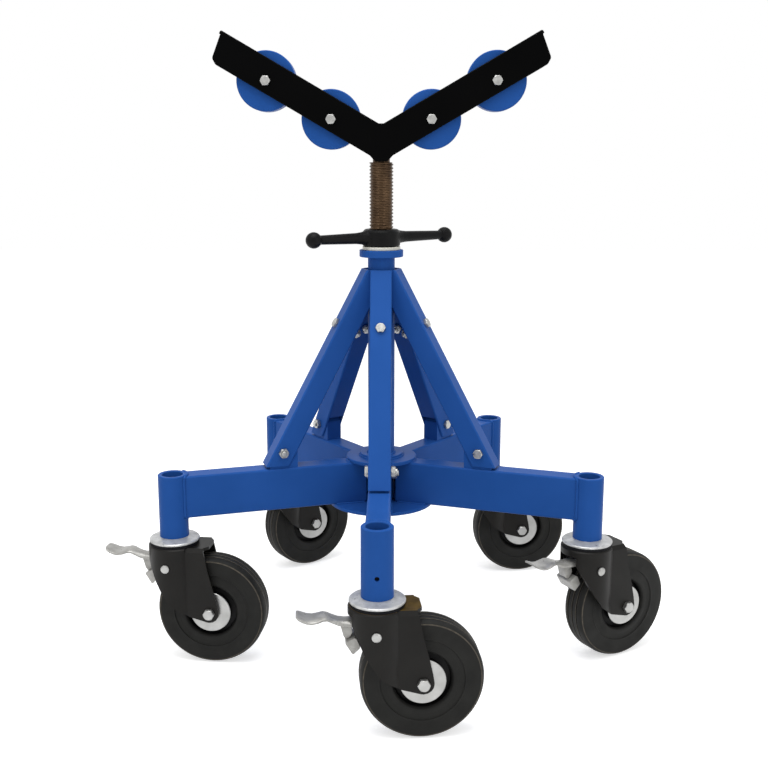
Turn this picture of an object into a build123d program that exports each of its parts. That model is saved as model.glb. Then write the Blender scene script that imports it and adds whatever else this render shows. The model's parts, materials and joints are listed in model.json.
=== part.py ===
from build123d import *
import math
import os

# Pipe stand: five braced legs on casters, a lifting screw and a V head with four rollers.
# Millimetres, +Z up, floor at z = 0, front leg toward -Y. The pieces are modelled round the
# column's own axis and placed by AXIS_X and AXIS_Y, so that the stand's box is centred.
AXIS_X = -13.5
AXIS_Y = 5.7
SIDES = ["front", "right", "rear_right", "rear_left", "left"]
FIRST_LEG = -90.0
LEG_STEP = 360.0 / len(SIDES)

# Clearances, radial or per side.
RUN = 0.08
SLIP = 0.3
THREAD_GAP = 0.1
WELD_GAP = 0.2

# Casters, round their own swivel axis: +X trails toward the wheel
TRAIL = {"front": 5.6, "right": 29.7, "rear_right": 8.5, "rear_left": 35.9, "left": -5.7}
WHEEL_AT = 71.7
TYRE_R = 101.6
TYRE_WIDE = 50.0
TYRE_INNER_R = 48.0
TYRE_STEP_R = 72.0
GROOVE_STEP = 12.0
CORE_RECESS_R = 38.0
CORE_RECESS_HALF = 20.0
GUARD_R = 38.0
GUARD_THICK = 3.0
HUB_HALF = TYRE_WIDE / 2 - 0.5
FORK_PLATE = 6.0
FORK_OVER_TYRE = 16.8
FORK_TOP = 2 * TYRE_R + FORK_OVER_TYRE + FORK_PLATE
FORK_WALL = 5.0
FORK_ROUND_R = 48.0
FORK_HALF = 37.0
FORK_NOTCH_HALF = 22.5
RACE_HIGH = 14.0
RACE_R = 46.2
RACE_RING_R = 45.0
KING_R = 8.0
KING_HEAD_R = 14.0
PIVOT_X = -5.0
PIVOT_Z = FORK_TOP - 36.0
PIVOT_BARREL_R = 9.0
PEDAL_HALF = 20.0
PEDAL_TOP = FORK_TOP - 27.0
PEDAL_THICK = 3.0
STRUT_HALF = 16.0
SHOE_LEAN = 29.23
SHOE_GAP = 5.3

# Caster sockets
SOCKET_AT = 403.05
SOCKET_R = 26.7
SOCKET_BORE_R = 19.05
SOCKET_LOW = FORK_TOP + RACE_HIGH
SOCKET_TOP = SOCKET_LOW + 117.2
PIN_Z = SOCKET_LOW + 38.0
PIN_R = 3.95
STEM_TOP = SOCKET_LOW + 65.0
STEM_GAP = 0.1

# Legs
LEG_WIDE = 40.0
LEG_HIGH = 80.0
TUBE_WALL = 3.2
LEG_LOW = SOCKET_LOW + 35.4
LEG_TOP = LEG_LOW + LEG_HIGH
LEG_START = 36.0
TUBE_CORNER = 4.0
TUBE_INNER_CORNER = 1.2

# Column
COLUMN_R = 25.4
COLUMN_WALL = 2.4
COLUMN_LONG = 490.9
COLLAR_R = 41.25
COLLAR_HIGH = 13.1
COLLAR_WELD = 2.7

# Hub
HUB_LOW_R = 101.6
HUB_LOW_THICK = 6.4
HUB_TOP_R = 68.0
HUB_TOP_THICK = 6.4
HUB_COLLAR_HIGH = 5.6
COLUMN_LOW = LEG_LOW - HUB_LOW_THICK
COLUMN_TOP = COLUMN_LOW + COLUMN_LONG
COLLAR_LOW = COLUMN_TOP - COLLAR_HIGH

# Braces: the outer face runs down and out from a point at the top
BRACE_WIDE = 40.0
BRACE_WALL = 3.2
BRACE_CORNER = 3.4
BRACE_TOP_R = 35.0
BRACE_TOP_Z = COLUMN_TOP - 37.9
BRACE_RUN = 0.542
BRACE_CUT_TOP = BRACE_TOP_Z + 2.0
BRACE_CUT_LOW = LEG_TOP + 5.0
BRACE_TILT = math.atan(BRACE_RUN)
BRACE_BOLT_ALONG = 111.5
BRACE_FOOT_OPEN = (BRACE_TOP_Z - BRACE_CUT_LOW) / math.cos(BRACE_TILT) - 71.3
LUG_WIDE = BRACE_WIDE - 2 * BRACE_WALL - 2 * SLIP
LUG_PAST_BOLT = 25.0
FOOT_BOLT_Z = LEG_TOP + 30.6
FOOT_BOLT_IN = 19.11
FOOT_BOLT_AT = BRACE_TOP_R + (BRACE_TOP_Z - FOOT_BOLT_Z) * BRACE_RUN - FOOT_BOLT_IN
HUB_BOLT_AT = 54.0
HUB_BOLT_Z = LEG_TOP - 15.4

# Bolts
BOLT_10_R = 5.0
BOLT_10_ACROSS = 17.0
BOLT_10_HEAD = 6.4
BOLT_10_NUT = 8.4
BOLT_13_R = 6.35
BOLT_13_ACROSS = 19.05
BOLT_13_HEAD = 8.0
BOLT_13_NUT = 11.0
BOLT_PAST_NUT = 3.5

# Lift
WASHER_R = 35.5
WASHER_THICK = 6.4
SCREW_R = 22.2
SCREW_PITCH = 6.35
SCREW_THREAD = 1.6
SCREW_LOW = COLUMN_TOP - 207.9
SCREW_SHOULDER = COLUMN_TOP + 161.1
SCREW_SPIGOT_R = 15.9
NUT_GAP = 0.1
NUT_HIGH = 32.0
NUT_R = 35.8
ARM_Z = COLUMN_TOP + 22.6
ARM_ROOT_R = 10.3
ARM_END_R = 8.5
ARM_TURN = 32.5
BALL_R = 15.0
BALL_AT = 143.4

# Head
V_ANGLE = 30.0
PLATE_THICK = 8.0
PLATE_GAP = 42.0
PLATE_EDGE = 1.5
NOTCH_HALF = 4.5
ARM_WIDE = 57.6
ARM_RISE = math.tan(math.radians(V_ANGLE))
TIP_X = 285.6
END_X = 304.4
APEX_HALF = 11.0
APEX_SIDE_X = 20.9
APEX_DROP = 11.16
APEX_Z = SCREW_SHOULDER + 1.0
LOWER_Z = APEX_Z + APEX_DROP - APEX_SIDE_X * ARM_RISE
NOTCH_Z = LOWER_Z + ARM_WIDE / math.cos(math.radians(V_ANGLE)) + NOTCH_HALF * ARM_RISE
END_Z = NOTCH_Z + 114.4
BLOCK_HALF_X = 32.0
BLOCK_LOW = APEX_Z + 20.0
BLOCK_TOP = BLOCK_LOW + 38.0
SCREW_TOP = BLOCK_TOP - 8.0
ROLLER_R = 54.0
ROLLER_WIDE = 38.0
ROLLER_DEPTH = 37.1
ROLLER_INNER_X = 91.5
ROLLER_OUTER_X = 208.9
SLEEVE_R = 9.5
TIP_BAR_THICK = 6.35
TIP_BAR_LONG = 38.0
TIP_BAR_PAST = 3.0
TIP_BAR_SUNK = 0.6


def on_brace(along, out):
    """Point (r, z) at a distance along the brace's outer face and out from it."""
    r = BRACE_TOP_R + along * math.sin(BRACE_TILT) + out * math.cos(BRACE_TILT)
    z = BRACE_TOP_Z - along * math.cos(BRACE_TILT) + out * math.sin(BRACE_TILT)
    return (r, z)


def brace_plane(along, out):
    """Plane across the brace: x is tangential, y points out, normal runs down the brace."""
    r, z = on_brace(along, out)
    down = (math.sin(BRACE_TILT), 0, -math.cos(BRACE_TILT))
    return Plane(origin=(r, 0, z), x_dir=(0, 1, 0), z_dir=down)


def turned(points):
    """Solid of revolution about Z from (radius, height) points."""
    with BuildPart() as body:
        with BuildSketch(Plane.XZ):
            with BuildLine():
                Polyline(*points, close=True)
            make_face()
        revolve(axis=Axis.Z)
    return body.part


def hex_bolt(radius, length, across, head):
    """Bolt along +Z with the underside of its head at 0 and the head below."""
    corner = across / math.sqrt(3)
    with BuildPart() as bolt:
        with BuildSketch(Plane.XY.offset(-head)):
            RegularPolygon(across / 2, 6, major_radius=False)
        extrude(amount=head)
        add(turned([(0, -head), (across * 0.46, -head), (corner + 0.2, -head * 0.66),
                    (corner + 0.2, 0), (0, 0)]), mode=Mode.INTERSECT)
        with BuildSketch(Plane.XY):
            Circle(radius)
        extrude(amount=length)
        chamfer(bolt.edges().filter_by(GeomType.CIRCLE).sort_by(Axis.Z)[-1], 1.0)
    return bolt.part


def hex_nut(radius, across, high):
    """Nut along +Z, from 0 to its height."""
    corner = across / math.sqrt(3) + 0.2
    edge = across * 0.47
    with BuildPart() as nut:
        with BuildSketch(Plane.XY):
            RegularPolygon(across / 2, 6, major_radius=False)
        extrude(amount=high)
        add(turned([(0, 0), (edge, 0), (corner, high * 0.2), (corner, high * 0.8),
                    (edge, high), (0, high)]), mode=Mode.INTERSECT)
        Cylinder(radius + THREAD_GAP, 4 * high, mode=Mode.SUBTRACT)
    return nut.part


def save(part, name):
    """Places a piece on the column's axis and writes it as its own node."""
    placed = part.moved(Location((AXIS_X, AXIS_Y, 0)))
    placed.label = name
    export_step(placed, f"parts/{name}.step")


os.makedirs("parts", exist_ok=True)

# Column tube, with the ring welded round its top
with BuildPart() as column_tube:
    with BuildSketch(Plane.XY.offset(COLUMN_LOW)):
        Circle(COLUMN_R)
        Circle(COLUMN_R - COLUMN_WALL, mode=Mode.SUBTRACT)
    extrude(amount=COLUMN_LONG)
save(column_tube.part, "column_tube")

top_collar = turned([
    (COLUMN_R, COLLAR_LOW - COLLAR_WELD),
    (COLUMN_R + COLLAR_WELD, COLLAR_LOW),
    (COLLAR_R - 0.8, COLLAR_LOW),
    (COLLAR_R, COLLAR_LOW + 0.8),
    (COLLAR_R, COLUMN_TOP - 1.2),
    (COLLAR_R - 1.2, COLUMN_TOP),
    (COLUMN_R, COLUMN_TOP),
])
save(top_collar, "top_collar")

# Hub: a large plate under the legs, a smaller one on top of them, and a ring round the column
hub_bottom_plate = turned([
    (COLUMN_R, COLUMN_LOW),
    (HUB_LOW_R - 0.8, COLUMN_LOW),
    (HUB_LOW_R, COLUMN_LOW + 0.8),
    (HUB_LOW_R, LEG_LOW - 0.8),
    (HUB_LOW_R - 0.8, LEG_LOW),
    (COLUMN_R, LEG_LOW),
])
save(hub_bottom_plate, "hub_bottom_plate")

hub_top_z = LEG_TOP + HUB_TOP_THICK
hub_top_plate = turned([
    (COLUMN_R, LEG_TOP),
    (HUB_TOP_R, LEG_TOP),
    (HUB_TOP_R, hub_top_z - 1.0),
    (HUB_TOP_R - 1.0, hub_top_z),
    (COLUMN_R, hub_top_z),
])
save(hub_top_plate, "hub_top_plate")

hub_collar = turned([
    (COLUMN_R, hub_top_z),
    (COLLAR_R, hub_top_z),
    (COLLAR_R, hub_top_z + HUB_COLLAR_HIGH - 1.0),
    (COLLAR_R - 1.0, hub_top_z + HUB_COLLAR_HIGH),
    (COLUMN_R, hub_top_z + HUB_COLLAR_HIGH),
])
save(hub_collar, "hub_collar")


def leg_tube(bolted):
    """Rectangular leg tube along +X, square at the hub and coped to its caster socket."""
    middle = (LEG_LOW + LEG_TOP) / 2
    with BuildPart() as leg:
        with BuildSketch(Plane.YZ.offset(LEG_START)):
            with Locations((0, middle)):
                RectangleRounded(LEG_WIDE, LEG_HIGH, TUBE_CORNER)
                RectangleRounded(LEG_WIDE - 2 * TUBE_WALL, LEG_HIGH - 2 * TUBE_WALL,
                                 TUBE_INNER_CORNER, mode=Mode.SUBTRACT)
        extrude(amount=SOCKET_AT - LEG_START)
        with Locations((SOCKET_AT, 0, middle)):
            Cylinder(SOCKET_R, 2 * LEG_HIGH, mode=Mode.SUBTRACT)
        if bolted:
            with BuildSketch(Plane.XZ):
                with Locations((HUB_BOLT_AT, HUB_BOLT_Z)):
                    Circle(BOLT_13_R + SLIP)
            extrude(amount=LEG_WIDE, both=True, mode=Mode.SUBTRACT)
    return leg.part


def brace_tube():
    """Square brace over its two lugs: level cut at both ends, coped to the column."""
    length = (BRACE_TOP_Z - BRACE_CUT_LOW) / math.cos(BRACE_TILT)
    half = BRACE_WIDE / 2
    open_to = -BRACE_WIDE + BRACE_WALL + TUBE_INNER_CORNER + 0.1
    start = -60.0
    with BuildPart() as brace:
        with BuildSketch(brace_plane(start, -half)):
            RectangleRounded(BRACE_WIDE, BRACE_WIDE, BRACE_CORNER)
            RectangleRounded(BRACE_WIDE - 2 * BRACE_WALL, BRACE_WIDE - 2 * BRACE_WALL,
                             TUBE_INNER_CORNER, mode=Mode.SUBTRACT)
        extrude(amount=length - start + BRACE_WIDE)
        split(bisect_by=Plane.XY.offset(BRACE_CUT_TOP), keep=Keep.BOTTOM)
        split(bisect_by=Plane.XY.offset(BRACE_CUT_LOW), keep=Keep.TOP)
        for side in (-1, 1):
            turn = math.radians(LEG_STEP / 2) * side
            across = (-math.sin(turn) * side, math.cos(turn) * side, 0)
            split(bisect_by=Plane(origin=(0, 0, 0), z_dir=across).offset(-WELD_GAP),
                  keep=Keep.BOTTOM)
        Cylinder(COLUMN_R, 3 * BRACE_TOP_Z, mode=Mode.SUBTRACT)
        # The inner wall stops short, so that the foot slips over its lug
        with BuildSketch(Plane.XZ):
            with BuildLine():
                Polyline(on_brace(BRACE_FOOT_OPEN, open_to), on_brace(BRACE_FOOT_OPEN, -half * 3),
                         on_brace(length + half, -half * 3), on_brace(length + half, open_to),
                         close=True)
            make_face()
        extrude(amount=half - BRACE_WALL, both=True, mode=Mode.SUBTRACT)
        # Bolt holes: square to the face at the top, across the tube at the foot
        with Locations(bolt_plane.location):
            Cylinder(BOLT_10_R + SLIP, 4 * BRACE_WIDE, mode=Mode.SUBTRACT)
        with BuildSketch(Plane.XZ):
            with Locations((FOOT_BOLT_AT, FOOT_BOLT_Z)):
                Circle(BOLT_10_R + SLIP)
        extrude(amount=BRACE_WIDE, both=True, mode=Mode.SUBTRACT)
    return brace.part


def top_lug():
    """Square bar welded to the column, inside the top of a brace."""
    start = -60.0
    with BuildPart() as lug:
        with BuildSketch(brace_plane(start, -BRACE_WIDE / 2)):
            RectangleRounded(LUG_WIDE, LUG_WIDE, 1.5)
        extrude(amount=BRACE_BOLT_ALONG + LUG_PAST_BOLT - start)
        split(bisect_by=Plane.XY.offset(BRACE_CUT_TOP - 2), keep=Keep.BOTTOM)
        for side in (-1, 1):
            turn = math.radians(LEG_STEP / 2) * side
            across = (-math.sin(turn) * side, math.cos(turn) * side, 0)
            split(bisect_by=Plane(origin=(0, 0, 0), z_dir=across).offset(-WELD_GAP),
                  keep=Keep.BOTTOM)
        Cylinder(COLUMN_R, 3 * BRACE_TOP_Z, mode=Mode.SUBTRACT)
        with Locations(bolt_plane.location):
            Cylinder(BOLT_10_R + SLIP, 4 * BRACE_WIDE, mode=Mode.SUBTRACT)
    return lug.part


def foot_lug():
    """Block welded on the leg, inside the foot of a brace."""
    with BuildPart() as lug:
        with BuildSketch(Plane.XZ):
            with BuildLine():
                Polyline((FOOT_BOLT_AT - 28, LEG_TOP), (FOOT_BOLT_AT + 25, LEG_TOP),
                         (FOOT_BOLT_AT + 25, LEG_TOP + 6), (FOOT_BOLT_AT + 6, FOOT_BOLT_Z + 12),
                         (FOOT_BOLT_AT + 2, FOOT_BOLT_Z + 16),
                         (FOOT_BOLT_AT - 20, FOOT_BOLT_Z + 16),
                         (FOOT_BOLT_AT - 28, FOOT_BOLT_Z + 8), close=True)
            make_face()
        extrude(amount=LUG_WIDE / 2, both=True)
        with BuildSketch(Plane.XZ):
            with Locations((FOOT_BOLT_AT, FOOT_BOLT_Z)):
                Circle(BOLT_10_R + SLIP)
        extrude(amount=BRACE_WIDE, both=True, mode=Mode.SUBTRACT)
    return lug.part


def hub_spigot():
    """Bar that holds the front leg, bolted through it."""
    with BuildPart() as spigot:
        with BuildSketch(Plane.YZ.offset(COLUMN_R - 6)):
            with Locations((0, (LEG_LOW + LEG_TOP) / 2)):
                RectangleRounded(LUG_WIDE, LEG_HIGH - 2 * TUBE_WALL - 2 * SLIP, 1.5)
        extrude(amount=70)
        Cylinder(COLUMN_R, 3 * BRACE_TOP_Z, mode=Mode.SUBTRACT)
        with BuildSketch(Plane.XZ):
            with Locations((HUB_BOLT_AT, HUB_BOLT_Z)):
                Circle(BOLT_13_R + SLIP)
        extrude(amount=LEG_WIDE, both=True, mode=Mode.SUBTRACT)
    return spigot.part


bolt_r, bolt_z = on_brace(BRACE_BOLT_ALONG, 0)
inward = (-math.cos(BRACE_TILT), 0, -math.sin(BRACE_TILT))
bolt_plane = Plane(origin=(bolt_r, 0, bolt_z), x_dir=(0, 1, 0), z_dir=inward)
brace_nut_plane = bolt_plane.offset(BRACE_WIDE)
foot_plane = Plane(origin=(FOOT_BOLT_AT, -BRACE_WIDE / 2, FOOT_BOLT_Z), x_dir=(1, 0, 0),
                   z_dir=(0, 1, 0))
foot_nut_plane = foot_plane.offset(BRACE_WIDE)
hub_bolt_plane = Plane(origin=(HUB_BOLT_AT, -LEG_WIDE / 2, HUB_BOLT_Z), x_dir=(1, 0, 0),
                       z_dir=(0, 1, 0))
hub_nut_plane = hub_bolt_plane.offset(LEG_WIDE)

# Caster socket: a short upright tube at the leg's end, with a cross hole for the stem's pin
with BuildPart() as socket_tube:
    with Locations((SOCKET_AT, 0, 0)):
        add(turned([
            (SOCKET_BORE_R, SOCKET_LOW),
            (SOCKET_R, SOCKET_LOW),
            (SOCKET_R, SOCKET_TOP - 1.2),
            (SOCKET_R - 1.2, SOCKET_TOP),
            (SOCKET_BORE_R + 1.0, SOCKET_TOP),
            (SOCKET_BORE_R, SOCKET_TOP - 1.0),
        ]))
    with BuildSketch(Plane.YZ.offset(SOCKET_AT)):
        with Locations((0, PIN_Z)):
            Circle(PIN_R + THREAD_GAP)
    extrude(amount=2 * SOCKET_R, mode=Mode.SUBTRACT)

brace = brace_tube()
for index, side in enumerate(SIDES):
    azimuth = FIRST_LEG + index * LEG_STEP
    save(leg_tube(side == "front").rotate(Axis.Z, azimuth), f"leg_{side}")
    save(brace.rotate(Axis.Z, azimuth), f"brace_{side}")
    save(socket_tube.part.rotate(Axis.Z, azimuth), f"caster_socket_{side}")

# Lugs inside the braces' two ends, and the spigot inside the front leg
top_bar = top_lug()
foot_block = foot_lug()
front_spigot = hub_spigot()
with BuildPart() as frame_lugs:
    with PolarLocations(0, len(SIDES), start_angle=FIRST_LEG):
        add(top_bar)
        add(foot_block)
    with Locations(Location((0, 0, 0), (0, 0, FIRST_LEG))):
        add(front_spigot)
save(frame_lugs.part, "frame_lugs")

# Bolts of the braces and of the front leg, with their nuts
brace_bolt = hex_bolt(BOLT_10_R, BRACE_WIDE + BOLT_10_NUT + BOLT_PAST_NUT, BOLT_10_ACROSS,
                      BOLT_10_HEAD)
brace_nut = hex_nut(BOLT_10_R, BOLT_10_ACROSS, BOLT_10_NUT)
hub_bolt = hex_bolt(BOLT_13_R, LEG_WIDE + BOLT_13_NUT + BOLT_PAST_NUT, BOLT_13_ACROSS,
                    BOLT_13_HEAD)
hub_nut = hex_nut(BOLT_13_R, BOLT_13_ACROSS, BOLT_13_NUT)
with BuildPart() as frame_bolts:
    with PolarLocations(0, len(SIDES), start_angle=FIRST_LEG):
        with Locations(bolt_plane.location, foot_plane.location):
            add(brace_bolt)
        with Locations(brace_nut_plane.location, foot_nut_plane.location):
            add(brace_nut)
    with Locations(Location((0, 0, 0), (0, 0, FIRST_LEG))):
        with Locations(hub_bolt_plane.location):
            add(hub_bolt)
        with Locations(hub_nut_plane.location):
            add(hub_nut)
save(frame_bolts.part, "frame_bolts")

# Caster stems: a turned stem with its king pin, the bright race under the socket, and the pin
stem_turning = turned([
    (0, FORK_TOP - FORK_PLATE - 8),
    (KING_HEAD_R - 1.5, FORK_TOP - FORK_PLATE - 8),
    (KING_HEAD_R, FORK_TOP - FORK_PLATE - 6.5),
    (KING_HEAD_R, FORK_TOP - FORK_PLATE - SLIP),
    (KING_R, FORK_TOP - FORK_PLATE - SLIP),
    (KING_R, SOCKET_LOW),
    (SOCKET_BORE_R - STEM_GAP, SOCKET_LOW),
    (SOCKET_BORE_R - STEM_GAP, STEM_TOP - 2),
    (SOCKET_BORE_R - STEM_GAP - 2, STEM_TOP),
    (0, STEM_TOP),
])
with BuildPart() as stem:
    add(stem_turning)
    with BuildSketch(Plane.YZ.offset(-SOCKET_BORE_R * 0.8)):
        with Locations((0, PIN_Z)):
            Circle(PIN_R + THREAD_GAP)
    extrude(amount=2 * SOCKET_R, mode=Mode.SUBTRACT)
race = turned([
    (KING_R + THREAD_GAP, FORK_TOP),
    (RACE_RING_R, FORK_TOP),
    (RACE_RING_R, FORK_TOP + 5.4),
    (RACE_R - 0.6, FORK_TOP + 5.8),
    (RACE_R, FORK_TOP + 6.6),
    (RACE_R, FORK_TOP + 8.6),
    (RACE_R - 1.6, FORK_TOP + 10.0),
    (SOCKET_R + 2.5, SOCKET_LOW - 1.0),
    (SOCKET_R, SOCKET_LOW - THREAD_GAP),
    (KING_R + THREAD_GAP, SOCKET_LOW - THREAD_GAP),
])
with BuildPart() as stem_pin:
    with BuildSketch(Plane.YZ.offset(-SOCKET_BORE_R * 0.7)):
        with Locations((0, PIN_Z)):
            Circle(PIN_R)
    extrude(amount=SOCKET_BORE_R * 1.7 + 1.5)
stem_part = stem.part
pin_part = stem_pin.part
with BuildPart() as caster_stems:
    with PolarLocations(SOCKET_AT, len(SIDES), start_angle=FIRST_LEG):
        add(stem_part)
        add(race)
        add(pin_part)
save(caster_stems.part, "caster_stems")

# Thrust washer and handle nut
washer_top = COLUMN_TOP + WASHER_THICK
thrust_washer = turned([
    (SCREW_R + 0.4, COLUMN_TOP),
    (WASHER_R - 0.8, COLUMN_TOP),
    (WASHER_R, COLUMN_TOP + 0.8),
    (WASHER_R, washer_top - 0.8),
    (WASHER_R - 0.8, washer_top),
    (SCREW_R + 0.4, washer_top),
])
save(thrust_washer, "thrust_washer")

nut_low = washer_top + NUT_GAP
nut_top = nut_low + NUT_HIGH
# Both arms and their balls are one turning through the hub
neck = BALL_AT - math.sqrt(BALL_R ** 2 - ARM_END_R ** 2)
root = NUT_R + 3
with BuildPart() as arms:
    with BuildSketch(Plane.XZ):
        with BuildLine():
            Line((0, -BALL_AT - BALL_R), (0, BALL_AT + BALL_R))
            ThreePointArc((0, BALL_AT + BALL_R), (BALL_R, BALL_AT), (ARM_END_R, neck))
            Polyline((ARM_END_R, neck), (ARM_ROOT_R, root), (ARM_ROOT_R, -root),
                     (ARM_END_R, -neck))
            ThreePointArc((ARM_END_R, -neck), (BALL_R, -BALL_AT), (0, -BALL_AT - BALL_R))
        make_face()
    revolve(axis=Axis.Z)
arms_part = arms.part
with BuildPart() as handle_nut:
    add(turned([
        (0, nut_low),
        (NUT_R - 3.0, nut_low),
        (NUT_R - 1.2, nut_low + 1.6),
        (NUT_R, ARM_Z - 7.5),
        (NUT_R, ARM_Z + 6.5),
        (NUT_R - 1.4, nut_top - 4.0),
        (NUT_R - 4.0, nut_top - 0.6),
        (NUT_R - 6.0, nut_top),
        (0, nut_top),
    ]))
    with Locations(Location((0, 0, ARM_Z), (0, 0, ARM_TURN))):
        with Locations(Location((0, 0, 0), (0, 90, 0))):
            add(arms_part)
    Cylinder(SCREW_R + RUN, 4 * nut_top, mode=Mode.SUBTRACT)
save(handle_nut.part, "handle_nut")

# Lift screw: ring grooves stand for the thread, a turned-down end goes up into the head block
thread = [(0, SCREW_LOW), (SCREW_R - SCREW_THREAD, SCREW_LOW)]
turns = int((SCREW_SHOULDER - SCREW_LOW - 6) / SCREW_PITCH)
for turn in range(turns):
    z = SCREW_LOW + turn * SCREW_PITCH
    thread.append((SCREW_R, z + 0.25 * SCREW_PITCH))
    thread.append((SCREW_R, z + 0.55 * SCREW_PITCH))
    thread.append((SCREW_R - SCREW_THREAD, z + 0.8 * SCREW_PITCH))
    thread.append((SCREW_R - SCREW_THREAD, z + SCREW_PITCH))
thread.append((SCREW_R - SCREW_THREAD, SCREW_SHOULDER))
thread.append((SCREW_SPIGOT_R, SCREW_SHOULDER))
thread.append((SCREW_SPIGOT_R, SCREW_TOP - 1))
thread.append((SCREW_SPIGOT_R - 1, SCREW_TOP))
thread.append((0, SCREW_TOP))
save(turned(thread), "lift_screw")

# Head: two plates cut to a V, one each side of the rollers
slope = ARM_RISE
cos_v = math.cos(math.radians(V_ANGLE))
sin_v = math.sin(math.radians(V_ANGLE))
tip_z = NOTCH_Z + (TIP_X - NOTCH_HALF) * slope
apex_side_z = APEX_Z + APEX_DROP
corner_x = END_X - 6.0
corner_z = LOWER_Z + corner_x * slope
right_side = [(NOTCH_HALF, NOTCH_Z), (TIP_X, tip_z), (END_X, END_Z), (corner_x, corner_z),
              (APEX_SIDE_X, apex_side_z), (APEX_HALF, APEX_Z)]
outline = right_side + [(-x, z) for x, z in reversed(right_side)]
rollers_at = []
for x in (-ROLLER_OUTER_X, -ROLLER_INNER_X, ROLLER_INNER_X, ROLLER_OUTER_X):
    z = NOTCH_Z + (abs(x) - NOTCH_HALF) * slope - ROLLER_DEPTH / cos_v
    rollers_at.append((x, z))


def head_plate(front):
    """V plate; its chamfered face looks away from the rollers."""
    outer = PLATE_GAP / 2 + PLATE_THICK
    face = outer if front else -PLATE_GAP / 2
    with BuildPart() as plate:
        with BuildSketch(Plane.XZ.offset(face - PLATE_THICK if front else face)):
            with BuildLine():
                Polyline(*outline, close=True)
            make_face()
        extrude(amount=PLATE_THICK if front else -PLATE_THICK)
        corners = plate.edges().filter_by(Axis.Y)
        fillet([e for e in corners if abs(abs(e.center().X) - END_X) < 0.5], 8.0)
        fillet([e for e in corners if abs(abs(e.center().X) - corner_x) < 0.5], 8.0)
        outside = Axis.Y
        faces = plate.faces().filter_by(Plane.XZ).sort_by(outside)
        chamfer((faces[0] if front else faces[-1]).edges(), PLATE_EDGE)
        with BuildSketch(Plane.XZ):
            with Locations(*rollers_at):
                Circle(BOLT_10_R + SLIP)
        extrude(amount=2 * outer, both=True, mode=Mode.SUBTRACT)
    return plate.part


save(head_plate(True), "head_front_plate")
save(head_plate(False), "head_rear_plate")

with BuildPart() as head_block:
    with BuildSketch(Plane.XY.offset(BLOCK_LOW)):
        Rectangle(2 * BLOCK_HALF_X, PLATE_GAP)
    extrude(amount=BLOCK_TOP - BLOCK_LOW)
    chamfer(head_block.edges().filter_by(Axis.Y), 3.0)
    with Locations((0, 0, SCREW_TOP / 2)):
        Cylinder(SCREW_SPIGOT_R, SCREW_TOP, mode=Mode.SUBTRACT)
save(head_block.part, "head_block")

# Flat bars between the plates at the arms' ends
tip_x = TIP_X + TIP_BAR_PAST * cos_v
tip_bar_z = tip_z + TIP_BAR_PAST * sin_v
with BuildPart() as tip_bars:
    for side in (-1, 1):
        along = (side * cos_v, 0, sin_v)
        normal = (-side * sin_v, 0, cos_v)
        bar_plane = Plane(origin=(side * tip_x, 0, tip_bar_z), x_dir=along, z_dir=normal)
        with BuildSketch(bar_plane.offset(-TIP_BAR_SUNK)):
            with Locations((-TIP_BAR_LONG / 2, 0)):
                Rectangle(TIP_BAR_LONG, PLATE_GAP)
        extrude(amount=-TIP_BAR_THICK)
    chamfer(tip_bars.edges().filter_by(Axis.Y), 0.8)
save(tip_bars.part, "tip_bars")

# Rollers on sleeves, clamped by long bolts with their heads in front
bolt_length = PLATE_GAP + 2 * PLATE_THICK + BOLT_10_NUT + BOLT_PAST_NUT
roller_bolt = hex_bolt(BOLT_10_R, bolt_length, BOLT_10_ACROSS, BOLT_10_HEAD)
roller_nut = hex_nut(BOLT_10_R, BOLT_10_ACROSS, BOLT_10_NUT)
sleeve = turned([
    (BOLT_10_R + THREAD_GAP, 0),
    (SLEEVE_R, 0),
    (SLEEVE_R, PLATE_GAP),
    (BOLT_10_R + THREAD_GAP, PLATE_GAP),
])
front_y = -PLATE_GAP / 2 - PLATE_THICK
with BuildPart() as roller_axles:
    for x, z in rollers_at:
        axle_plane = Plane(origin=(x, front_y, z), x_dir=(1, 0, 0), z_dir=(0, 1, 0))
        with Locations(axle_plane.location):
            add(roller_bolt)
        with Locations(axle_plane.offset(PLATE_THICK).location):
            add(sleeve)
        with Locations(axle_plane.offset(PLATE_GAP + 2 * PLATE_THICK).location):
            add(roller_nut)
save(roller_axles.part, "roller_axles")

half_wide = ROLLER_WIDE / 2
roller_turning = turned([
    (SLEEVE_R + RUN, -half_wide),
    (ROLLER_R - 1.5, -half_wide),
    (ROLLER_R, -half_wide + 1.5),
    (ROLLER_R, half_wide - 1.5),
    (ROLLER_R - 1.5, half_wide),
    (SLEEVE_R + RUN, half_wide),
])
roller_names = ["left_outer", "left_inner", "right_inner", "right_outer"]
for (x, z), place in zip(rollers_at, roller_names):
    roller = roller_turning.moved(Location((x, 0, z), (-90, 0, 0)))
    save(roller, f"roller_{place}")

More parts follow.
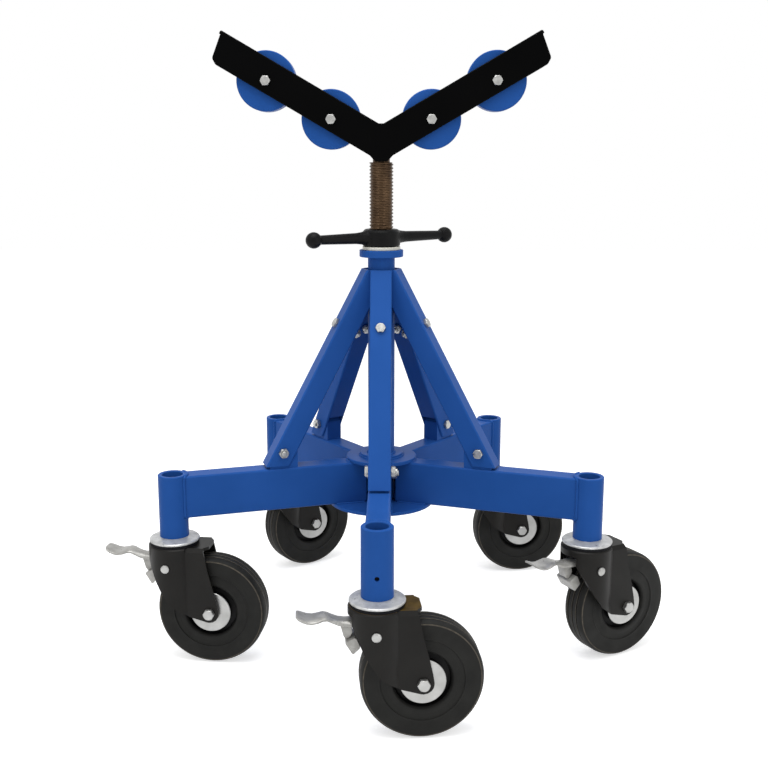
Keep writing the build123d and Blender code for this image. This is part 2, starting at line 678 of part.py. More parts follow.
# Caster fork: pressed plate, round at the swivel, with flat cheeks down to the axle
with BuildPart() as fork:
    low = TYRE_R - 41.6
    with BuildSketch(Plane.XY.offset(low)):
        Circle(FORK_ROUND_R)
        with Locations((FORK_ROUND_R, 0)):
            Rectangle(2 * FORK_ROUND_R, 2 * FORK_HALF)
    extrude(amount=FORK_TOP - low)
    with BuildSketch(Plane.XY.offset(low)):
        Circle(FORK_ROUND_R - FORK_WALL)
        with Locations((FORK_ROUND_R + 10, 0)):
            Rectangle(2 * FORK_ROUND_R + 20, 2 * (FORK_HALF - FORK_WALL))
    extrude(amount=FORK_TOP - FORK_PLATE - low, mode=Mode.SUBTRACT)
    with BuildSketch(Plane.XZ):
        with BuildLine():
            Polyline((-50, FORK_TOP), (-50, FORK_TOP - 11), (-26.5, FORK_TOP - 63),
                     (-14, FORK_TOP - 85.6), (WHEEL_AT - 69.7, TYRE_R + 15.9),
                     (WHEEL_AT - 37.7, TYRE_R - 7.6), (WHEEL_AT - 4.7, TYRE_R - 16.8),
                     (WHEEL_AT, TYRE_R - 17.5), (WHEEL_AT + 6.8, TYRE_R - 16.1),
                     (WHEEL_AT + 12.8, TYRE_R - 12.2), (WHEEL_AT + 16.5, TYRE_R - 6.6),
                     (WHEEL_AT + 17.6, TYRE_R), (WHEEL_AT + 17.3, TYRE_R + 3.4),
                     (WHEEL_AT + 15.3, TYRE_R + 15.8), (WHEEL_AT + 8.7, TYRE_R + 45.4),
                     (WHEEL_AT + 0.3, FORK_TOP - 48), (67, FORK_TOP - 22.4),
                     (62, FORK_TOP), close=True)
        make_face()
    extrude(amount=2 * FORK_ROUND_R, both=True, mode=Mode.INTERSECT)
    # Sloped shoulders between the cheeks and the top plate, and its trailing tongue
    for side in (-1, 1):
        with BuildSketch(Plane.YZ.offset(29)):
            with BuildLine():
                Polyline((side * 31, FORK_TOP), (side * 40, FORK_TOP), (side * 40, FORK_TOP - 10.5),
                         close=True)
            make_face()
        extrude(amount=60, mode=Mode.SUBTRACT)
    with BuildSketch(Plane.XY.offset(FORK_TOP - FORK_PLATE)):
        with BuildLine():
            Polyline((50, -30), (60, -30), (70, -18), (70, 18), (60, 30), (50, 30), close=True)
        make_face()
    extrude(amount=FORK_PLATE)
    # Notch for the brake, and the holes of the king pin, brake bolt and axle
    with Locations((-FORK_ROUND_R, 0, FORK_TOP - 56)):
        Box(50, 2 * FORK_NOTCH_HALF, 86, mode=Mode.SUBTRACT)
    Cylinder(KING_R + RUN, 4 * FORK_TOP, mode=Mode.SUBTRACT)
    with BuildSketch(Plane.XZ):
        with Locations((PIVOT_X, PIVOT_Z)):
            Circle(BOLT_10_R + SLIP)
        with Locations((WHEEL_AT, TYRE_R)):
            Circle(BOLT_13_R + SLIP)
    extrude(amount=2 * FORK_ROUND_R, both=True, mode=Mode.SUBTRACT)
    round_edges = fork.faces().sort_by(Axis.Z)[-1].edges().filter_by(GeomType.CIRCLE)
    chamfer([e for e in round_edges if e.radius > FORK_HALF], 2.0)

# Axle set: axle bolt and nut, two thread guards, brake bolt with its sleeves
axle_bolt = hex_bolt(BOLT_13_R, 2 * FORK_HALF + BOLT_13_NUT + BOLT_PAST_NUT, BOLT_13_ACROSS,
                     BOLT_13_HEAD)
axle_nut = hex_nut(BOLT_13_R, BOLT_13_ACROSS, BOLT_13_NUT)
guard_gap = FORK_HALF - FORK_WALL - TYRE_WIDE / 2
guard = turned([
    (BOLT_13_R + THREAD_GAP, 0),
    (GUARD_R - 1, 0),
    (GUARD_R, 1),
    (GUARD_R, GUARD_THICK - 1),
    (GUARD_R - 1, GUARD_THICK),
    (14, GUARD_THICK),
    (12.5, guard_gap),
    (BOLT_13_R + THREAD_GAP, guard_gap),
])
brake_bolt = turned([
    (0, -4),
    (5.5, -4),
    (7.75, -2.4),
    (7.75, 0),
    (BOLT_10_R, 0),
    (BOLT_10_R, 2 * FORK_ROUND_R + 0.2),
    (7.75, 2 * FORK_ROUND_R + 0.2),
    (7.75, 2 * FORK_ROUND_R + 2.6),
    (5.5, 2 * FORK_ROUND_R + 4.2),
    (0, 2 * FORK_ROUND_R + 4.2),
])
brake_sleeve = turned([
    (BOLT_10_R + THREAD_GAP, PEDAL_HALF + SLIP),
    (8, PEDAL_HALF + SLIP),
    (8, 40.8),
    (BOLT_10_R + THREAD_GAP, 40.8),
])
axle_line = Plane(origin=(WHEEL_AT, -FORK_HALF, TYRE_R), x_dir=(1, 0, 0), z_dir=(0, 1, 0))
wheel_middle = Plane(origin=(WHEEL_AT, 0, TYRE_R), x_dir=(1, 0, 0), z_dir=(0, 1, 0))
wheel_middle_back = Plane(origin=(WHEEL_AT, 0, TYRE_R), x_dir=(1, 0, 0), z_dir=(0, -1, 0))
pivot_line = Plane(origin=(PIVOT_X, -FORK_ROUND_R - 0.1, PIVOT_Z), x_dir=(1, 0, 0),
                   z_dir=(0, 1, 0))
pivot_middle = Plane(origin=(PIVOT_X, 0, PIVOT_Z), x_dir=(1, 0, 0), z_dir=(0, 1, 0))
pivot_middle_back = Plane(origin=(PIVOT_X, 0, PIVOT_Z), x_dir=(1, 0, 0), z_dir=(0, -1, 0))
with BuildPart() as axle_set:
    with Locations(axle_line.location):
        add(axle_bolt)
    with Locations(axle_line.offset(2 * FORK_HALF).location):
        add(axle_nut)
    with Locations(wheel_middle.offset(TYRE_WIDE / 2).location,
                   wheel_middle_back.offset(TYRE_WIDE / 2).location):
        add(guard)
    with Locations(pivot_line.location):
        add(brake_bolt)
    with Locations(pivot_middle.location, pivot_middle_back.location):
        add(brake_sleeve)

# Wheel: moulded core on the axle and a rubber tyre with three grooves round its crown
tyre_half = TYRE_WIDE / 2
core_turning = turned([
    (BOLT_13_R + RUN, -HUB_HALF),
    (30, -HUB_HALF),
    (CORE_RECESS_R - 2, -CORE_RECESS_HALF),
    (TYRE_INNER_R, -CORE_RECESS_HALF),
    (TYRE_INNER_R, CORE_RECESS_HALF),
    (CORE_RECESS_R - 2, CORE_RECESS_HALF),
    (30, HUB_HALF),
    (BOLT_13_R + RUN, HUB_HALF),
])
side_profile = [(TYRE_INNER_R, tyre_half - 2), (TYRE_INNER_R + 1.5, tyre_half - 0.8),
                (TYRE_STEP_R - 1, tyre_half - 0.8), (TYRE_STEP_R, tyre_half),
                (TYRE_R - 6, tyre_half), (TYRE_R - 2.6, tyre_half - 2.4),
                (TYRE_R - 0.6, tyre_half - 7)]
grooves = []
for y in (GROOVE_STEP, 0.0, -GROOVE_STEP):
    grooves += [(TYRE_R, y + 1.8), (TYRE_R - 2.0, y + 1.0), (TYRE_R - 2.0, y - 1.0),
                (TYRE_R, y - 1.8)]
crown = [(TYRE_R, tyre_half - 10)] + grooves + [(TYRE_R, -tyre_half + 10)]
tyre_turning = turned(side_profile + crown + [(r, -y) for r, y in reversed(side_profile)])
with BuildPart() as tyre:
    with Locations(wheel_middle.location):
        add(tyre_turning)
with BuildPart() as wheel_core:
    with Locations(wheel_middle.location):
        add(core_turning)

# Brake: pedal plate on a barrel round its bolt, with a strut down to the shoe at the tyre
lean = math.radians(SHOE_LEAN)
shoe_x = WHEEL_AT - (TYRE_R + SHOE_GAP) * math.cos(lean)
shoe_z = TYRE_R + (TYRE_R + SHOE_GAP) * math.sin(lean)
pedal_top = [(-131, PEDAL_TOP + 13), (-107, PEDAL_TOP + 5), (-83, PEDAL_TOP + 9),
             (-55, PEDAL_TOP), (PIVOT_X, PEDAL_TOP)]
pedal_under = [(PIVOT_X, PEDAL_TOP - PEDAL_THICK), (-55.5, PEDAL_TOP - PEDAL_THICK),
               (-83, PEDAL_TOP + 8.9 - PEDAL_THICK), (-107, PEDAL_TOP + 4.9 - PEDAL_THICK),
               (-130, PEDAL_TOP + 13 - PEDAL_THICK)]
with BuildPart() as brake:
    with BuildSketch(Plane.XZ):
        with BuildLine():
            Polyline(*pedal_top, *pedal_under, close=True)
        make_face()
    extrude(amount=PEDAL_HALF, both=True)
    with BuildSketch(Plane.XZ):
        with BuildLine():
            Polyline((-58.5, PEDAL_TOP - 1), (-55, PEDAL_TOP - 2), (shoe_x - 20.4, shoe_z + 14.2),
                     (shoe_x - 24.9, shoe_z + 11.5), close=True)
        make_face()
    extrude(amount=STRUT_HALF, both=True)
    with BuildSketch(Plane.XZ):
        with BuildLine():
            Polyline((shoe_x - 28.4, shoe_z + 16.2), (shoe_x - 10.4, shoe_z - 7.8),
                     (shoe_x, shoe_z), (shoe_x - 18, shoe_z + 24), close=True)
        make_face()
    extrude(amount=PEDAL_HALF, both=True)
    with BuildSketch(Plane.XZ):
        with Locations((PIVOT_X, PIVOT_Z)):
            Circle(PIVOT_BARREL_R)
    extrude(amount=PEDAL_HALF, both=True)
    with BuildSketch(Plane.XZ):
        with Locations((PIVOT_X, PIVOT_Z)):
            Circle(BOLT_10_R + RUN)
    extrude(amount=2 * PEDAL_HALF, both=True, mode=Mode.SUBTRACT)

caster_parts = {
    "fork": fork.part,
    "axle_set": axle_set.part,
    "tyre": tyre.part,
    "wheel_core": wheel_core.part,
    "brake": brake.part,
}
for index, side in enumerate(SIDES):
    azimuth = math.radians(FIRST_LEG + index * LEG_STEP)
    swivel = (SOCKET_AT * math.cos(azimuth), SOCKET_AT * math.sin(azimuth), 0)
    for kind, part in caster_parts.items():
        save(part.moved(Location(swivel, (0, 0, TRAIL[side]))), f"{kind}_{side}")
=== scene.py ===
import json
import math
import random

import bmesh
import bpy
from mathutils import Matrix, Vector

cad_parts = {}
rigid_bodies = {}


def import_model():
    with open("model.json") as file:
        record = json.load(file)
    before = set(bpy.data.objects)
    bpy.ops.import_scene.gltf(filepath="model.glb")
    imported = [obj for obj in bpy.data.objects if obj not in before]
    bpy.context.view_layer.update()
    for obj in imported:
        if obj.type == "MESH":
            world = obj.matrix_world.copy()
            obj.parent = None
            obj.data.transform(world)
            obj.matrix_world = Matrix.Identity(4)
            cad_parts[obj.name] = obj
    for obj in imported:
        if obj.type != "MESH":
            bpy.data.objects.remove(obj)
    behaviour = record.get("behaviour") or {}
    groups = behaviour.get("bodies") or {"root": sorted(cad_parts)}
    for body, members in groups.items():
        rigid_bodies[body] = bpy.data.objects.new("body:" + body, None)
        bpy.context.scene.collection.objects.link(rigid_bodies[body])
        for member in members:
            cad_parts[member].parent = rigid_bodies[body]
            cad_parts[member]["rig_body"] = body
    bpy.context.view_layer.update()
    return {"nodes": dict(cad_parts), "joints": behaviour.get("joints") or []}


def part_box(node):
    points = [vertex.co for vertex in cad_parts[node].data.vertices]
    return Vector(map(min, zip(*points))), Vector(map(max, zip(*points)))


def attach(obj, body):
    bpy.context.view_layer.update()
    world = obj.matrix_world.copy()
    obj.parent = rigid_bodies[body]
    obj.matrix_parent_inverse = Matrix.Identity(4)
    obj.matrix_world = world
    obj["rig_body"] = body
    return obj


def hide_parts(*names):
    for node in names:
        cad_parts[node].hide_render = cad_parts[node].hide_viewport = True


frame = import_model()

# The column and the hub. A steel tube stands on a round plate, with a smaller plate and a ring
# where it leaves the legs, and a ring round its top that carries the washer and the handle nut.
# The rings and plates are welded on, and the whole frame is powder coated in a glossy blue.
mm = 0.001
joints = {joint["name"]: joint for joint in frame["joints"]}
column_x, column_y = joints["handle_turn"]["pos_m"][:2]
column_axis = Vector((column_x, column_y, 0))
sides = ["front", "right", "rear_right", "rear_left", "left"]


def soft_noise(nodes, links, place, scale, detail):
    """Noise over the piece's own place, so that the finish moves with it."""
    noise = nodes.new("ShaderNodeTexNoise")
    noise.inputs["Scale"].default_value = scale
    noise.inputs["Detail"].default_value = detail
    links.new(place, noise.inputs["Vector"])
    return noise.outputs["Fac"]


def spread(nodes, links, value, low, high, start=0.3, stop=0.7):
    """Value mapped from start..stop to low..high."""
    mapped = nodes.new("ShaderNodeMapRange")
    mapped.inputs["From Min"].default_value = start
    mapped.inputs["From Max"].default_value = stop
    mapped.inputs["To Min"].default_value = low
    mapped.inputs["To Max"].default_value = high
    links.new(value, mapped.inputs["Value"])
    return mapped.outputs["Result"]


def finish_of(name, dark, light, patch, gloss, grain, depth, metal=0.0, shine=0.3, specks=None):
    """A finish: two tones in patches of a size, a gloss that varies, and a fine grain.
    specks is (colour, size, share) for spangle or dirt."""
    made = bpy.data.materials.new(name)
    made.use_nodes = True
    nodes, links = made.node_tree.nodes, made.node_tree.links
    shader = nodes["Principled BSDF"]
    place = nodes.new("ShaderNodeTexCoord").outputs["Object"]
    tones = nodes.new("ShaderNodeMix")
    tones.data_type = "RGBA"
    tones.inputs["A"].default_value = (*dark, 1)
    tones.inputs["B"].default_value = (*light, 1)
    patches = soft_noise(nodes, links, place, 1 / patch, 4)
    links.new(spread(nodes, links, patches, 0, 1), tones.inputs["Factor"])
    colour = tones.outputs["Result"]
    if specks:
        speck_colour, size, share = specks
        spots = soft_noise(nodes, links, place, 1 / size, 2)
        dirt = nodes.new("ShaderNodeMix")
        dirt.data_type = "RGBA"
        links.new(colour, dirt.inputs["A"])
        dirt.inputs["B"].default_value = (*speck_colour, 1)
        edge = 1 - share
        links.new(spread(nodes, links, spots, 0, 0.85, edge - 0.04, edge + 0.04),
                  dirt.inputs["Factor"])
        colour = dirt.outputs["Result"]
    links.new(colour, shader.inputs["Base Color"])
    shader.inputs["Metallic"].default_value = metal
    shader.inputs["Specular IOR Level"].default_value = shine
    wear = soft_noise(nodes, links, place, 0.6 / patch, 5)
    links.new(spread(nodes, links, wear, gloss[0], gloss[1]), shader.inputs["Roughness"])
    fine = soft_noise(nodes, links, place, 1 / grain, 3)
    bump = nodes.new("ShaderNodeBump")
    bump.inputs["Strength"].default_value = 0.35
    bump.inputs["Distance"].default_value = depth
    links.new(fine, bump.inputs["Height"])
    links.new(bump.outputs["Normal"], shader.inputs["Normal"])
    return made


def placed(name, work, finish, body, nodes=()):
    """The mesh as a piece of the stand: its finish, the body that it rides on, and its nodes."""
    mesh = bpy.data.meshes.new(name)
    for face in work.faces:
        face.smooth = True
    work.to_mesh(mesh)
    work.free()
    piece = bpy.data.objects.new(name, mesh)
    bpy.context.scene.collection.objects.link(piece)
    mesh.materials.append(finish)
    if nodes:
        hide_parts(*nodes)
    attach(piece, body)
    return piece


def rounded_over(piece, edge, segments=2, angle=28.0):
    """Breaks the sharp edges of a piece by a small round, and keeps its flats flat."""
    bevel = piece.modifiers.new("rounded edges", "BEVEL")
    bevel.width = edge
    bevel.segments = segments
    bevel.limit_method = "ANGLE"
    bevel.angle_limit = math.radians(angle)
    flats = piece.modifiers.new("even shading", "WEIGHTED_NORMAL")
    flats.keep_sharp = True
    return piece


def dressed(node, finish, edge, segments=2):
    """A CAD node's own form with its facets joined and its edges rounded over."""
    source = frame["nodes"][node]
    work = bmesh.new()
    work.from_mesh(source.data)
    bmesh.ops.remove_doubles(work, verts=work.verts, dist=0.004 * mm)
    bmesh.ops.dissolve_limit(work, angle_limit=math.radians(0.6), verts=work.verts,
                             edges=work.edges)
    piece = placed(node + "_made", work, finish, source["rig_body"], [node])
    return rounded_over(piece, edge, segments)


def second_finish(piece, finish, chosen):
    """Gives another finish to the faces that a test on middle and normal picks."""
    piece.data.materials.append(finish)
    for face in piece.data.polygons:
        if chosen(face.center, face.normal):
            face.material_index = len(piece.data.materials) - 1


def lathe(work, profile, place, steps=96):
    """Turns a closed outline of (radius, along) points; place gives a point from
    (along the axis, one way across it, the other way)."""
    rings = []
    for k in range(steps):
        turn = 2 * math.pi * k / steps
        rings.append([work.verts.new(place(along, r * math.cos(turn), r * math.sin(turn)))
                      for r, along in profile])
    count = len(profile)
    for one, two in zip(rings, rings[1:] + rings[:1]):
        for k in range(count):
            n = (k + 1) % count
            work.faces.new((one[k], one[n], two[n], two[k]))


def smooth_steps(points, step, closed=False):
    """Points spaced evenly along a path."""
    if closed:
        points = points + [points[0]]
    result = [points[0]]
    left = step
    for start, end in zip(points, points[1:]):
        length = (end - start).length
        if length < 1e-9:
            continue
        at = left
        while at <= length:
            result.append(start.lerp(end, at / length))
            at += step
        left = at - length
    return result


def weld_beads(name, paths, radius, finish, body):
    """Weld beads along paths, each a rippled rope that lies half in the joint and tapers off
    at an open end."""
    work = bmesh.new()
    around = 8
    bead_step = 1.1 * mm
    ripple_every = 3.2
    ripple_high = 0.16
    uneven = 0.04
    end_size = 0.35
    end_growth = 0.3
    no_end = 9
    for path, closed in paths:
        points = smooth_steps([Vector(p) for p in path], bead_step, closed)
        if closed and (points[-1] - points[0]).length < 0.6 * mm:
            points.pop()
        rings = []
        count = len(points)
        for i, point in enumerate(points):
            before = points[i - 1] if i or closed else point
            after = points[(i + 1) % count] if i < count - 1 or closed else point
            run = (after - before).normalized()
            side = run.cross(Vector((0.3, 0.2, 1))).normalized()
            up = side.cross(run)
            ripple = 1 + ripple_high * abs(math.sin(i * math.pi / ripple_every))
            ripple += random.uniform(-uneven, uneven)
            end = min(i, count - 1 - i) if not closed else no_end
            size = radius * ripple * min(1, end_size + end_growth * end)
            rings.append([work.verts.new(point + (side * math.cos(t) + up * math.sin(t)) * size)
                          for t in (2 * math.pi * k / around for k in range(around))])
        pairs = list(zip(rings, rings[1:])) + ([(rings[-1], rings[0])] if closed else [])
        for one, two in pairs:
            for k in range(around):
                n = (k + 1) % around
                work.faces.new((one[k], one[n], two[n], two[k]))
        if not closed:
            work.faces.new(list(reversed(rings[0])))
            work.faces.new(rings[-1])
    bmesh.ops.recalc_face_normals(work, faces=work.faces)
    return placed(name, work, finish, body)


def ring_path(centre, radius, height, turns=96):
    """A level circle round an upright axis."""
    return [Vector((centre.x + radius * math.cos(2 * math.pi * k / turns),
                    centre.y + radius * math.sin(2 * math.pi * k / turns), height))
            for k in range(turns)]


random.seed(4)
frame_blue = finish_of("blue powder coat", (0.0145, 0.073, 0.285), (0.0185, 0.086, 0.330),
                       120 * mm, (0.32, 0.40), 1.1 * mm, 0.03 * mm, shine=0.04)
for node in ("column_tube", "top_collar", "hub_bottom_plate", "hub_top_plate", "hub_collar"):
    dressed(node, frame_blue, 0.5 * mm)
tube_low, tube_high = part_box("column_tube")
ring_low, ring_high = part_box("hub_collar")
plate_low, plate_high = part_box("hub_top_plate")
tube_r = (tube_high.x - tube_low.x) / 2
ring_r = (ring_high.x - ring_low.x) / 2
plate_r = (plate_high.x - plate_low.x) / 2
bead_proud = 0.6 * mm
weld_beads("hub_welds",
           [(ring_path(column_axis, tube_r + bead_proud, ring_high.z + 0.2 * mm), True),
            (ring_path(column_axis, ring_r + bead_proud, plate_high.z + 0.4 * mm), True)],
           2.2 * mm, frame_blue, "base")

# The legs and the caster sockets. Each leg is a rectangular tube, square at the hub and coped
# round an upright socket tube at its end; the weld runs round the joint. The sockets are open
# at the top and have a cross hole for the stem's pin.
leg_edges = {}
for side in sides:
    dressed("leg_" + side, frame_blue, 0.35 * mm)
    dressed("caster_socket_" + side, frame_blue, 0.5 * mm)
    swivel = Vector(joints["swivel_" + side]["pos_m"])
    out = (Vector((swivel.x, swivel.y, 0)) - column_axis).normalized()
    across = Vector((-out.y, out.x, 0))
    low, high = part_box("leg_" + side)
    leg_edges[side] = (out, across, low.z, high.z, Vector((swivel.x, swivel.y, 0)))
leg_low, leg_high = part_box("leg_front")
socket_low, socket_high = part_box("caster_socket_front")
half_leg = (leg_high.x - leg_low.x) / 2
socket_r = (socket_high.x - socket_low.x) / 2
leg_corner = 4 * mm
seam_start = 38 * mm
seam_end = 98 * mm
rim_points = [k * 1.5 * mm for k in range(-10, 11)]
hub_paths = []
socket_paths = []
for side in sides:
    out, across, low, high, socket = leg_edges[side]

    def on_socket(y, z):
        r = socket_r + 0.5 * mm
        return socket - out * math.sqrt(r * r - y * y) + across * y + Vector((0, 0, z))

    inner = half_leg - leg_corner
    path = [on_socket(y, high + 0.4 * mm) for y in (-inner, -inner / 2, 0, inner / 2, inner)]
    path += [on_socket(half_leg, z) for z in (high - leg_corner, (low + high) / 2,
                                              low + leg_corner)]
    path += [on_socket(y, low - 0.4 * mm) for y in (inner, inner / 2, 0, -inner / 2, -inner)]
    path += [on_socket(-half_leg, z) for z in (low + leg_corner, (low + high) / 2,
                                               high - leg_corner)]
    socket_paths.append((path, True))
    rim = plate_r + 0.4 * mm
    hub_paths.append(([column_axis + out * math.sqrt(rim * rim - y * y) + across * y
                       + Vector((0, 0, high + 0.3 * mm))
                       for y in rim_points], False))
    for sign in (-1, 1):
        hub_paths.append(([column_axis + out * r + across * sign * (half_leg + 0.2 * mm)
                           + Vector((0, 0, low + 0.4 * mm))
                           for r in (seam_start, seam_end)], False))
weld_beads("socket_welds", socket_paths, 2.7 * mm, frame_blue, "base")
weld_beads("leg_welds", hub_paths, 1.9 * mm, frame_blue, "base")

# The braces. Square tubes, cut level at both ends, slip over a lug on the column and one on
# the leg, and are bolted through. The lugs are welded on before the frame is coated.
for side in sides:
    dressed("brace_" + side, frame_blue, 0.35 * mm)
dressed("frame_lugs", frame_blue, 0.5 * mm)

# The bolts of the braces and of the front leg: zinc-plated hexagon bolts and nuts.
bolt_zinc = finish_of("bright zinc plating", (0.34, 0.34, 0.33), (0.52, 0.52, 0.50), 9 * mm,
                      (0.22, 0.4), 0.8 * mm, 0.03 * mm, metal=0.9)
dressed("frame_bolts", bolt_zinc, 0.45 * mm)

# The swivel races and stems. The stem stands in the socket behind its pin; under the socket
# lies the domed disc of the ball race, dull zinc with grey blotches. The pin's end and the ring
# under the race's flange are coloured near-black as painted shade in the hole and the gap.
race_zinc = finish_of("race zinc", (0.40, 0.405, 0.405), (0.60, 0.605, 0.60), 12 * mm,
                      (0.26, 0.4), 1.0 * mm, 0.02 * mm, metal=0.45,
                      specks=((0.20, 0.20, 0.20), 6 * mm, 0.30))
# Painted shade: a near-black for the pin's end in its hole and the ring in the gap under the
# race's flange.
painted_shade_black = finish_of("painted shade in pin hole and race gap", (0.004, 0.004, 0.005), (0.010, 0.010, 0.012),
                     2 * mm, (0.5, 0.7), 0.8 * mm, 0.02 * mm, shine=0.1)
stems = dressed("caster_stems", race_zinc, 0.3 * mm)
pin_z = 278 * mm
pin_reach = 4.2 * mm
# Painted shade in the pin's hole: the pin's end is coloured near-black.
second_finish(stems, painted_shade_black,
              lambda middle, normal: abs(middle.z - pin_z) < pin_reach and abs(normal.z) < 0.99)
# Painted shade in the gap under the race's flange: the lower ring is coloured near-black.
race_foot = joints["swivel_front"]["pos_m"][2]
shaded_ring_high = 5.7 * mm
second_finish(stems, painted_shade_black, lambda middle, normal: middle.z < race_foot + shaded_ring_high)

# The thrust washer: an off-white plastic ring that the handle nut turns on.
washer_white = finish_of("washer off-white", (0.56, 0.55, 0.48), (0.66, 0.65, 0.58), 20 * mm,
                         (0.4, 0.55), 0.9 * mm, 0.03 * mm)
dressed("thrust_washer", washer_white, 0.6 * mm)

# The handle nut: one iron casting, a round hub with two tapering arms that end in balls. Its
# shoulders run into the arms in soft cast corners. Black enamel.
cast_black = finish_of("black enamel on cast iron", (0.0020, 0.0020, 0.0022),
                       (0.0035, 0.0035, 0.0038), 30 * mm, (0.36, 0.5), 1.6 * mm, 0.06 * mm,
                       shine=0.12)
nut_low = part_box("handle_nut")[0]
hub_r = 35.8 * mm
bore_r = 22.6 * mm
arm_z = joints["handle_turn"]["pos_m"][2]
arm_turn = math.radians(32.5)
arm_along = Vector((math.cos(arm_turn), math.sin(arm_turn), 0))
arm_across = Vector((-math.sin(arm_turn), math.cos(arm_turn), 0))
ball_r = 15.0 * mm
ball_at = 143.4 * mm
ball_steps = 14
arm_root_r = 10.3 * mm
arm_end_r = 8.5 * mm
neck = ball_at - math.sqrt(ball_r ** 2 - arm_end_r ** 2)
hub_top = nut_low.z + 32.0 * mm
work = bmesh.new()
lathe(work, [(bore_r, nut_low.z + 1 * mm), (bore_r + 1 * mm, nut_low.z),
             (hub_r - 2.2 * mm, nut_low.z), (hub_r - 0.6 * mm, nut_low.z + 2 * mm),
             (hub_r, arm_z), (hub_r - 0.8 * mm, hub_top - 5 * mm),
             (hub_r - 4.5 * mm, hub_top - 0.6 * mm), (hub_r - 7 * mm, hub_top),
             (bore_r + 0.8 * mm, hub_top), (bore_r, hub_top - 0.8 * mm)],
      lambda along, a, b: column_axis + Vector((a, b, along)), 128)
for sign in (-1, 1):
    arm = [(0, 29 * mm), (15.2 * mm, 29 * mm), (15.2 * mm, 31 * mm), (13.4 * mm, 36 * mm),
           (11.6 * mm, 43 * mm), (arm_root_r, 54 * mm), (arm_end_r, neck)]
    start = math.atan2(arm_end_r, neck - ball_at)
    for k in range(1, ball_steps + 1):
        lean = start * (1 - k / ball_steps)
        arm.append((ball_r * math.sin(lean), ball_at + ball_r * math.cos(lean)))
    arm = [(max(r, 0.02 * mm), along) for r, along in arm]
    lathe(work, arm,
          lambda along, a, b: (column_axis + Vector((0, 0, arm_z)) + arm_along * along * sign
                               + arm_across * a + Vector((0, 0, b))), 40)
bmesh.ops.recalc_face_normals(work, faces=work.faces)
handle = placed("handle_nut_cast", work, cast_black, "nut", ["handle_nut"])
skin = handle.modifiers.new("one casting", "REMESH")
skin.mode = "VOXEL"
skin.voxel_size = 1.1 * mm
skin.use_smooth_shade = True
corners = handle.modifiers.new("soft cast corners", "SMOOTH")
corners.factor = 0.5
corners.iterations = 7

# The lifting screw: a long square-shouldered thread, phosphated brown, turned down at its top
# to sit in the head block.
screw_brown = finish_of("brown phosphate", (0.050, 0.028, 0.014), (0.105, 0.062, 0.032),
                        22 * mm, (0.28, 0.42), 1.0 * mm, 0.03 * mm, metal=0.7)
screw_low, screw_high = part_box("lift_screw")
screw_r = (screw_high.x - screw_low.x) / 2
pitch = 6.35 * mm
thread_depth = 1.9 * mm
thread_start = 3 * mm
spigot_r = 15.9 * mm
shoulder_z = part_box("head_front_plate")[0].z - 1.0 * mm
work = bmesh.new()
turn_steps = 56
rows = []
# One pitch of the thread: share of the pitch, depth
profile = ((0.0, 1.0), (0.10, 1.0), (0.26, 0.0), (0.52, 0.0), (0.68, 1.0), (1.0, 1.0))
z = screw_low.z + 0.3 * mm
levels = []
while z < shoulder_z - 0.2 * mm:
    levels.append(z)
    z += pitch / 10
for z in levels:
    row = []
    for k in range(turn_steps):
        turn = 2 * math.pi * k / turn_steps
        phase = ((z - screw_low.z) / pitch - k / turn_steps) % 1.0
        deep = 1.0
        for (p0, d0), (p1, d1) in zip(profile, profile[1:]):
            if p0 <= phase <= p1:
                deep = d0 + (d1 - d0) * (phase - p0) / (p1 - p0)
        end = min((z - screw_low.z) / thread_start, 1)
        r = screw_r - thread_depth * (deep * end + (1 - end))
        row.append(work.verts.new(column_axis + Vector((r * math.cos(turn),
                                                       r * math.sin(turn), z))))
    rows.append(row)
for one, two in zip(rows, rows[1:]):
    for k in range(turn_steps):
        n = (k + 1) % turn_steps
        work.faces.new((one[k], one[n], two[n], two[k]))
work.faces.new(list(reversed(rows[0])))
top = rows[-1]
for r, z in ((spigot_r, shoulder_z), (spigot_r, screw_high.z)):
    ring = [work.verts.new(column_axis + Vector((r * math.cos(2 * math.pi * k / turn_steps),
                                                 r * math.sin(2 * math.pi * k / turn_steps), z)))
            for k in range(turn_steps)]
    for k in range(turn_steps):
        n = (k + 1) % turn_steps
        work.faces.new((top[k], top[n], ring[n], ring[k]))
    top = ring
work.faces.new(top)
lift_screw = placed("lift_screw_threaded", work, screw_brown, "head",
                    ["lift_screw"])
lift_screw.data.set_sharp_from_angle(angle=math.radians(40))

# The V head: two plates cut from steel, one each side of the rollers, a block between them
# that takes the screw, and a flat bar across each arm's end. Black powder coat.
head_black = finish_of("black powder coat", (0.0006, 0.0006, 0.0007), (0.0011, 0.0011, 0.0012),
                       90 * mm, (0.36, 0.48), 1.0 * mm, 0.03 * mm, shine=0.03)
for node in ("head_front_plate", "head_rear_plate", "head_block", "tip_bars"):
    dressed(node, head_black, 0.5 * mm)

# The rollers: steel rollers, turned with a broken rim and painted blue, running on sleeves
# round the long bolts.
for place in ("left_outer", "left_inner", "right_inner", "right_outer"):
    dressed("roller_" + place, frame_blue, 0.8 * mm, 3)
dressed("roller_axles", bolt_zinc, 0.5 * mm)

# The caster forks: thick plate pressed round the swivel, with flat cheeks down to the axle.
fork_black = finish_of("fork black-brown", (0.0052, 0.0047, 0.0040), (0.0082, 0.0074, 0.0063),
                       40 * mm, (0.34, 0.46), 1.0 * mm, 0.04 * mm, shine=0.17)
fork_bronze = finish_of("fork bronze on top faces", (0.056, 0.034, 0.006), (0.100, 0.062, 0.013),
                        14 * mm, (0.4, 0.55), 0.9 * mm, 0.03 * mm, metal=0.15, shine=0.1)
fork_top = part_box("fork_front")[1].z
crease_round = 7 * mm


